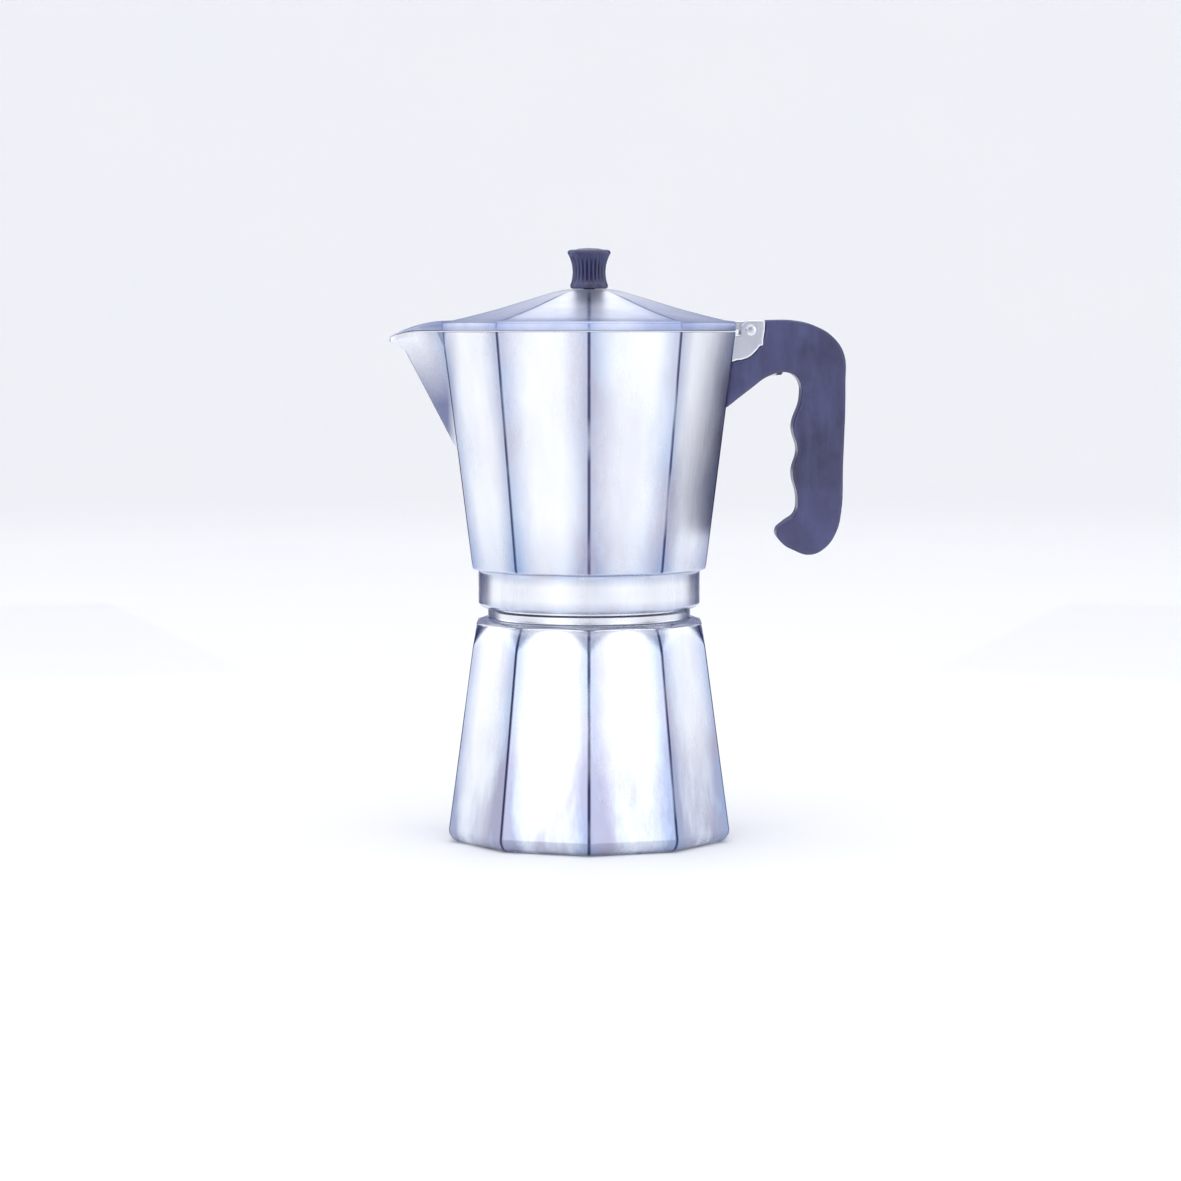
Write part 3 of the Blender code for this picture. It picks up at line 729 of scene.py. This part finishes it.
collector_rows += eased([spout_row(181.6), top, spout_row(RIM, WALL), spout_row(181.3, WALL)], 0.45)
heights = [*np.arange(180.9, 175.0, -0.3), *np.arange(174.5, 139.6, -0.95), 139.0, 125.0, 106.0]
collector_rows += [spout_row(height, WALL) for height in heights]
floor = [spout_row(105.0, WALL), row(38.2, 102.2, 6.0), row(35.5, 101.2), row(4.3, 101.2)]
collector_rows += eased(floor, 1.2)
keel_turns = facet_turns(keel=True)
collector = shell("collector_casting", collector_rows, keel_turns, facet_metal, ring=True)


def slab(name, outline, low, high):
    """An outline in the XZ plane, filled between two distances along Y, in millimetres."""
    mesh = bpy.data.meshes.new(name)
    shape = bmesh.new()
    near = [shape.verts.new((x * MM, low * MM, z * MM)) for x, z in outline]
    far = [shape.verts.new((x * MM, high * MM, z * MM)) for x, z in outline]
    shape.faces.new(near)
    shape.faces.new(far[::-1])
    for i in range(len(outline)):
        on = (i + 1) % len(outline)
        shape.faces.new((near[on], near[i], far[i], far[on]))
    bmesh.ops.recalc_face_normals(shape, faces=shape.faces)
    shape.to_mesh(mesh)
    shape.free()
    return mesh


def swept(x, z, wide, high, start, end, count=16):
    """Points on an ellipse from one angle in degrees to another."""
    turns = [math.radians(start + (end - start) * k / count) for k in range(count + 1)]
    return [(x + wide * math.cos(t), z + high * math.sin(t)) for t in turns]


def fused(name, meshes, look, voxel, passes):
    """Solids that overlap melted into one, with the soft edges and fillets of a casting."""
    shape = bmesh.new()
    for mesh in meshes:
        shape.from_mesh(mesh)
    whole = bpy.data.meshes.new(name)
    shape.to_mesh(whole)
    shape.free()
    piece = added(name, whole)
    remesh = piece.modifiers.new("melt", "REMESH")
    remesh.mode = "VOXEL"
    remesh.voxel_size = voxel * MM
    remesh.adaptivity = 0.0
    smooth = piece.modifiers.new("ease", "SMOOTH")
    smooth.factor = 0.5
    smooth.iterations = passes
    settled(piece, 180.0)
    piece.data.materials.clear()
    piece.data.materials.append(look)
    return piece


pin_low, pin_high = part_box("hinge_pin")
hinge = (Vector(pin_low) + Vector(pin_high)) / 2 / MM
plain_metal = cast_metal("polished_cast_plain", False)
base_outline = [(49.9, 170.9)] + swept(52.7, 184, 9.9, 12.3, -90, -22)
base_outline += [(61.0, 178.4), (50.6, 178.4)]
ear_outline = [(51.0, 177.0), (62.0, 177.0)] + swept(52.7, 184, 9.9, 12.3, -18, 0)
ear_outline += [(62.6, 185.7)] + swept(hinge.x, hinge.z, 3.6, 3.6, 90, 180)
ear_outline += [(53.9, 180.8), (50.8, 180.8)]
solids = [slab("lug", base_outline, -9, 9), slab("ear_a", ear_outline, -9, -4.8)]
solids += [slab("ear_b", ear_outline, 4.8, 9)]
solids += [slab("tang", [(52, 172.6), (70.8, 172.6), (70.8, 177.8), (52, 177.8)], -4.5, 4.5)]
boss = fused("hinge_boss", solids, plain_metal, 0.3, 6)
for piece in (collector, boss):
    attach(piece, "upper_pot")
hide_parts("collector")


# ---------------------------------------------------------------------------------------
# Coffee column. A cast riser pressed into the collector's floor, with a domed head and a
# slot on each side that the coffee wells out of.


def cut(piece, mesh, sharp=38.0):
    """Takes a solid out of the piece."""
    cutter = added("cutter", mesh)
    step = piece.modifiers.new("cut", "BOOLEAN")
    step.object = cutter
    step.solver = "EXACT"
    settled(piece, sharp)
    bpy.data.objects.remove(cutter)


column_shape = [(2.8, 98.3), (4.0, 98.3), (4.0, 101.5), (8.7, 101.5), (9.0, 101.9), (8.6, 102.7)]
column_shape += [(7.3, 105.0), (6.6, 112), (5.7, 124), (5.2, 136), (4.9, 143), (4.8, 146.6)]
column_shape += [(4.3, 148.8), (3.2, 150.0), (1.6, 150.4), (0.8, 150.4), (0.8, 147.8), (2.8, 147.0)]
column = turned("coffee_column_cast", column_shape, plain_metal, 120, 0.4, True)
slot_outline = [(-1.1, 140.5), (1.1, 140.5), (1.1, 146), (-1.1, 146)]
cut(column, slab("slot", slot_outline, -12, 12))
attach(column, "upper_pot")
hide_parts("coffee_column")


# ---------------------------------------------------------------------------------------
# Handle. A compression-moulded dark thermoset grip with a square shoulder, a waved inner
# edge for the fingers and a hooked foot, screwed up into the casting's tang from below.


def thermoset(name):
    """Dark indigo moulded thermoset: mottled, half gloss, with faint flow marks."""
    constants = {"Coat_Roughness": 0.25, "IOR": 1.55, "Coat_Weight": 0.35}
    made, wire, shader, place = finish(name, 0.0, 0.35, **constants)
    cloud = grain(wire, place, (1, 0.6, 0.8), 42.0, 5.0, 0.62)
    flow = grain(wire, place, (1, 1, 0.18), 150.0, 3.0, 0.55)
    speck = grain(wire, place, (1, 1, 1), 1800.0, 2.0)
    mottled = spread(cloud, 0.36, 0.66)
    base = blended(wire, mottled, (0.023, 0.021, 0.080, 1), (0.060, 0.064, 0.190, 1))
    colour = blended(wire, spread(flow, 0.5, 0.8) * 0.4, base, (0.10, 0.13, 0.30, 1))
    rough = 0.27 + 0.16 * spread(cloud, 0.3, 0.7) + 0.1 * speck
    surface = dented(wire, flow * 0.7 + speck * 0.3, 0.12, 0.0003)
    feed(wire, shader, Base_Color=colour, Roughness=rough, Normal=surface)
    return made


dark = thermoset("dark_thermoset")


def smooth_outline(points, steps=6):
    """A closed smooth line through points; a third value in a point makes it a sharp corner."""
    curve = bpy.data.curves.new("outline", "CURVE")
    curve.dimensions = "2D"
    curve.resolution_u = steps
    spline = curve.splines.new("BEZIER")
    spline.bezier_points.add(len(points) - 1)
    for point, (x, z, *sharp) in zip(spline.bezier_points, points):
        point.co = (x, z, 0)
        point.handle_left_type = point.handle_right_type = "VECTOR" if sharp else "AUTO"
    spline.use_cyclic_u = True
    drawn = added("outline", curve)
    bpy.context.view_layer.update()
    mesh = drawn.evaluated_get(bpy.context.evaluated_depsgraph_get()).to_mesh()
    line = [(v.co.x, v.co.y) for v in mesh.vertices]
    bpy.data.objects.remove(drawn)
    return line


grip = [(63.0, 186.1, 1), (73.0, 185.9), (80.3, 184.0), (87.0, 179.8), (90.8, 173.8), (91.3, 164.0)]
grip += [(90.6, 134.0), (90.0, 117.4), (88.2, 110.2), (84.0, 104.5), (78.8, 102.3), (73.0, 104.0)]
grip += [(68.8, 106.6), (66.8, 110.4), (69.8, 113.8), (73.6, 116.8), (74.4, 122.4), (72.6, 131.6)]
grip += [(74.4, 139.4), (72.6, 148.0), (75.5, 158.4), (74.6, 164.8), (70.6, 167.4), (64.4, 166.3)]
grip += [(57.2, 161.3), (body_side(154.6) + 0.2, 154.6, 1), (body_side(171.2) + 0.2, 171.2, 1)]
grip += [(x, z, 1) for x, z in swept(52.7, 184, 10.0, 12.4, -84, 0, 8)]
handle = fused("handle_grip", [slab("grip", smooth_outline(grip), -9.0, 9.0)], dark, 0.42, 16)


def drilled(piece, x, radius, low, high):
    """Takes an upright hole out of the piece."""
    mesh = bpy.data.meshes.new("drill")
    wide, deep = radius * MM, (high - low) * MM
    shape = bmesh.new()
    bmesh.ops.create_cone(
        shape, cap_ends=True, segments=64, radius1=wide, radius2=wide, depth=deep
    )
    bmesh.ops.translate(shape, verts=shape.verts, vec=(x * MM, 0, (low + high) / 2 * MM))
    shape.to_mesh(mesh)
    shape.free()
    cut(piece, mesh, 60.0)


screw_low, screw_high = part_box("handle_screw")
screw_x = (screw_low[0] + screw_high[0]) / 2 / MM
drilled(handle, screw_x, 4.4, 150.0, 169.8)
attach(handle, "upper_pot")
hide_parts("handle")

screw_shape = [(0, 166.1), (2.9, 166.4), (3.5, 167.4), (3.4, 168.3), (2.0, 168.3), (2.0, 177.4)]
screw = turned("handle_screw_turned", screw_shape + [(0, 177.4)], steel, 60, 0.15)
washer_shape = [(2.3, 168.7), (4.1, 168.7), (4.1, 169.5), (2.3, 169.5)]
disc = turned("handle_washer_pressed", washer_shape, steel, 60, 0.1, True)
for piece, node in ((screw, "handle_screw"), (disc, "handle_washer")):
    piece.data.transform(Matrix.Translation((screw_x * MM, 0, 0)))
    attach(piece, "upper_pot")
    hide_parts(node)


# ---------------------------------------------------------------------------------------
# Lid. A thin cast aluminium pyramid with ten soft ridges, a straight rim band and a beak
# that covers the spout. Its knuckle turns on a steel pin peened over in the boss's ears.


def lid_metal():
    """The lid's polished face: ten fans of fine marks that run from the middle outward, with
    painted shade towards the ridges and the rim and a painted dark line along each ridge.
    """
    made, wire, shader, place = finish("polished_cast_lid", 1.0, 0.25)
    split = wire.node("ShaderNodeSeparateXYZ", None, {0: place}).socket.node
    x, y, z = (Wire(wire.tree, socket) for socket in split.outputs)
    turn = y.math("ARCTAN2", x)
    edge = abs((turn * (FACETS / (2 * math.pi)) + 0.5).math("FRACT") - 0.5) * 2.0
    away = (x * x + y * y).math("SQRT")
    polar = wire.node("ShaderNodeCombineXYZ", None, {"X": turn, "Y": away * 0.4, "Z": z * 0.4})
    streak = grain(wire, polar, (1, 1, 1), 160.0, 2.0)
    cloud = grain(wire, place, (1, 1, 1), 30.0, 4.0, 0.6)
    # Painted shade: bluer towards each ridge and towards the rim.
    shade = 0.35 * spread(cloud, 0.40, 0.68) + 0.3 * edge**5.0 + 0.6 * spread(away, 0.014, 0.052)
    colour = blended(wire, shade, (0.88, 0.90, 0.94, 1), (0.33, 0.38, 0.58, 1))
    # Painted dark line along each ridge, from a little outside the knob out to the rim band, in
    # place of the dark reflection on the ridge; it breaks up along its length.
    from_ridge = away * ((1.0 - edge) * (math.pi / FACETS)).math("SINE")
    painted_ridge_line = (1.0 - spread(from_ridge, 0.0002, 0.0009)) * spread(away, 0.012, 0.02)
    painted_ridge_line = painted_ridge_line * (1.0 - spread(away, 0.050, 0.0535)) * spread(cloud, 0.35, 0.55)
    colour = blended(wire, 0.8 * painted_ridge_line, colour, (0.03, 0.04, 0.14, 1))
    rough = 0.24 + 0.1 * streak + 0.08 * spread(cloud, 0.35, 0.7)
    surface = dented(wire, streak + cloud, 0.07, 0.0002)
    feed(wire, shader, Base_Color=colour, Roughness=rough, Normal=surface)
    return made


lid_look = lid_metal()
slope = [(8.4, 196.9, 9), (11, 196.4, 9), (14, 195.6, 8), (21, 193.4, 4), (32, 190.0, 2.2)]
lid_rows = [row(2.4, 196.9), row(8.0, 196.95, 8.0)]
lid_rows += [row(radius, height, corner) for radius, height, corner in slope]
lid_rows.append(row(39, 188.1, 2.0))
lid_rows = eased(lid_rows, 0.8, 3)
lid_rows += [row(44, 186.85, 1.8)]
for k in range(15):
    t = k / 14
    side, tip = 48 + 3.2 * t, 47.5 + 23.0 * t
    steep = max(0.05, 3.1 * (tip / side - 1))
    lid_rows.append(row(side, 185.9 - 0.35 * t, 1.6, tip=tip, slope=steep, start=51, rate=0.0133))
band = [row(51.2, 185.55, 1.6, tip=70.5, slope=1.19, start=51, rate=0.0133)]
band += [row(51.9, 184.9, 1.6, tip=71.3, slope=1.18, start=51, rate=0.0113)]
band += [row(51.9, 182.2, 1.6, tip=71.4, slope=1.19, start=BEND_FROM, rate=BEND)]
band += [row(50.3, 182.1, 1.6, tip=64.0, slope=0.95, start=BEND_FROM, rate=BEND)]
band += [row(50.2, 183.7, 1.6, tip=63.0, slope=0.9, start=51, rate=0.006)]
band += [row(47.6, 184.1, 1.6, tip=56.0, slope=0.65, start=51, rate=0.006)]
lid_rows += eased(band, 0.35, 3)[1:]
under = [(39, 186.3, 2.0), (32, 188.2, 2.2), (21, 191.6, 4), (14, 193.8, 8)]
lid_rows += [row(radius, height, corner) for radius, height, corner in under]
lid_rows += [row(8.6, 195.1), row(2.4, 195.1)]
crisp = {"Blend": 0.0005, "Keel Softness": 0.012}
lid = shell("lid_casting", lid_rows, keel_turns, lid_look, ring=True, inputs=crisp)
arm = [(50.4, 182.5), (50.4, 184.9), (52.5, 185.7)]
arm += swept(hinge.x, hinge.z, 3.4, 3.4, 88, -180) + [(53.4, 182.5)]
knuckle = fused("lid_knuckle", [slab("arm", arm, -4.5, 4.5)], plain_metal, 0.25, 5)
for piece in (lid, knuckle):
    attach(piece, "lid")
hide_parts("lid")

rivet_shape = [(0, -9.35), (1.2, -9.3), (1.9, -9.05), (2.0, -8.9), (1.4, -8.8), (1.4, 8.8)]
rivet_shape += [(2.0, 8.9), (1.9, 9.05), (1.2, 9.3), (0, 9.35)]
rivet = turned("hinge_pin_peened", rivet_shape, steel, 60, 0.12)
placed(rivet, hinge, Vector((0, 1, 0)))
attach(rivet, "upper_pot")
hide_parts("hinge_pin")


# ---------------------------------------------------------------------------------------
# Knob. A small moulded thermoset knob with a waist, ribs for the fingers and a domed top,
# held by a steel screw and washer from under the lid into a brass insert.

knob_rows = [row(3.9, 197.2), row(6.3, 197.2), row(6.7, 197.6), row(6.75, 198.6)]
knob_rows += [row(6.45, 199.2, rib=0.25), row(6.1, 200.6, rib=0.8), row(5.85, 203.0, rib=0.9)]
knob_rows += [row(6.05, 205.4, rib=0.9), row(6.5, 207.2, rib=0.7), row(7.1, 208.7, rib=0.25)]
knob_rows += [row(7.5, 209.4), row(7.75, 210.0), row(7.5, 210.7), row(6.6, 211.1)]
knob_rows += [row(5.6, 210.95), row(3.5, 211.5), row(0, 211.7)]
hollow = [row(0, 207.0), row(2.3, 207.0), row(2.3, 205.0), row(3.9, 205.0)]
knob_rows = hollow + eased(knob_rows, 0.5, 4)
knob = shell("knob_ribbed", knob_rows, round_turns(384), dark, inputs={"Rib Count": 24})
sleeve = [(2.3, 197.5), (3.6, 197.5), (3.6, 204.7), (2.3, 204.7)]
insert = turned("knob_sleeve", sleeve, brass, 60, 0.1, True)
bolt = [(0, 192.0), (2.9, 192.1), (3.6, 192.9), (3.6, 194.0), (2.0, 194.0), (2.0, 206.4)]
bolt.append((0, 206.4))
bolt_piece = turned("knob_screw_turned", bolt, steel, 60, 0.15)
ring_shape = [(2.4, 194.3), (5.0, 194.3), (5.0, 194.8), (2.4, 194.8)]
ring_piece = turned("knob_washer_pressed", ring_shape, steel, 72, 0.1, True)
for piece, node, slot in (
    (knob, "lid_knob", "dark_bakelite"),
    (insert, "knob_insert", "brass"),
    (bolt_piece, "knob_screw", "stainless_steel"),
    (ring_piece, "knob_washer", "stainless_steel"),
):
    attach(piece, "lid")
    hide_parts(node)


# ---------------------------------------------------------------------------------------
# Studio. A pale seamless floor, soft boxes on both sides and above, and narrow deep-blue
# flags that only the polished metal sees.

pale, wire, shader, place = finish("pale_floor", 0.0, 0.8)
mottle = grain(wire, place, (1, 1, 1), 5.0, 4.0)
fibre = grain(wire, place, (1, 1, 1), 220.0, 3.0)
colour = blended(wire, mottle, (0.93, 0.93, 0.935, 1), (0.90, 0.905, 0.915, 1))
feed(wire, shader, Base_Color=colour, Normal=dented(wire, fibre, 0.1, 0.0003))
shader.inputs["Emission Color"].default_value = (1, 1, 1, 1)
shader.inputs["Emission Strength"].default_value = 0.05
STEPS = 96  # points round the floor
FLAT, CURVE = 2.4, 0.9  # metres: the flat floor's radius, and that of the sweep up from it
profile = [(0.02, 0.0), (0.5, 0.0), (1.2, 0.0), (FLAT, 0.0)]
for t in np.linspace(0.1, math.pi / 2, 14):
    profile.append((FLAT + CURVE * math.sin(t), CURVE - CURVE * math.cos(t)))
profile.append((FLAT + CURVE, 2.6))
points, faces = [], [tuple(range(STEPS))]
for radius, height in profile:
    points += [(radius * math.cos(t), radius * math.sin(t), height) for t in round_turns(STEPS)]
for ring in range(len(profile) - 1):
    a, b = ring * STEPS, (ring + 1) * STEPS
    for k in range(STEPS):
        on = (k + 1) % STEPS
        faces.append((a + k, b + k, b + on, a + on))
mesh = bpy.data.meshes.new("floor")
mesh.from_pydata(points, [], faces)
mesh.materials.append(pale)
mesh.shade_smooth()
ground = added("floor", mesh)

world = bpy.data.worlds.new("studio")
bpy.context.scene.world = world
world.use_nodes = True
back = world.node_tree.nodes["Background"]
back.inputs["Color"].default_value = (0.93, 0.95, 1.0, 1)
back.inputs["Strength"].default_value = 0.93

POT_MIDDLE = Vector((0, 0, 0.11))


def soft_box(name, turn, distance, height, wide, high, glow, colour=(1, 1, 1)):
    """A rectangular light at a turn round the pot, aimed at it, with its brightness given."""
    angle = math.radians(turn)
    place = Vector((distance * math.cos(angle), distance * math.sin(angle), height))
    lamp = bpy.data.lights.new(name, "AREA")
    lamp.shape = "RECTANGLE"
    lamp.size = wide
    lamp.size_y = high
    lamp.energy = glow * math.pi * wide * high
    lamp.color = colour
    made = added(name, lamp)
    made.location = place
    made.rotation_euler = (place - POT_MIDDLE).to_track_quat("Z", "Y").to_euler()
    made.visible_camera = False


soft_box("box_front_left", -126, 1.5, 0.45, 0.62, 0.8, 1.02)
soft_box("box_front_right", -54, 1.5, 0.45, 0.62, 0.8, 0.97, (0.95, 0.97, 1))
soft_box("box_left", 162, 1.6, 0.6, 0.8, 0.9, 0.9)
soft_box("box_right", 18, 1.6, 0.6, 0.8, 0.9, 0.8, (0.93, 0.96, 1))
soft_box("box_back", 90, 1.7, 1.45, 1.0, 0.7, 0.85)
soft_box("box_above", -90, 0.3, 1.5, 1.3, 1.3, 1.1)


def cloth(name, one, other):
    """Woven cloth between two colours."""
    made, wire, shader, place = finish(name, 0.0, 0.9)
    weave = grain(wire, place, (1, 1, 1), 900.0, 2.0)
    feed(wire, shader, Base_Color=blended(wire, weave, one, other))
    return made


dark_cloth = cloth("flag_dark", (0.03, 0.04, 0.13, 1), (0.05, 0.06, 0.17, 1))
grey_cloth = cloth("flag_grey", (0.20, 0.21, 0.33, 1), (0.24, 0.25, 0.38, 1))
# Each flag: its middle and half width in degrees, then the distance and height of one long
# edge and of the other. The last two lie on the floor.
flags = []
for turn, wide in ((-90, 7), (-18, 8), (-162, 8)):
    flags.append((turn, wide, (1.75, 0.12), (1.75, 0.9), dark_cloth))
for turn in (53, 127):
    flags.append((turn, 20, (1.1, 0), (1.1, 0.8), dark_cloth))
flags.append((90, 17, (1.7, 0.1), (1.7, 0.98), grey_cloth))
for turn in (53, 127):
    flags.append((turn, 20, (0.62, 0.001), (1.1, 0.001), dark_cloth))
for index, (turn, wide, *edges, look) in enumerate(flags):
    points = []
    for k in range(9):
        angle = math.radians(turn + wide * (k / 4 - 1))
        for away, height in edges:
            points.append((away * math.cos(angle), away * math.sin(angle), height))
    mesh = bpy.data.meshes.new("flag")
    mesh.from_pydata(points, [], [(2 * k, 2 * k + 1, 2 * k + 3, 2 * k + 2) for k in range(8)])
    mesh.materials.append(look)
    flag = added(f"flag_{index}", mesh)
    flag.visible_camera = False
    flag.visible_shadow = False
    flag.visible_diffuse = False

bpy.context.scene.view_settings.view_transform = "Standard"
lens = bpy.data.cameras.new("camera")
lens.lens = 103.6
lens.sensor_width = 36
DOWN = 4.37  # degrees the camera looks down
camera = added("camera", lens)
camera.location = (0.0005, -1.22, 0.1822)
camera.rotation_euler = (math.radians(90 - DOWN), 0, 0)
bpy.context.scene.camera = camera
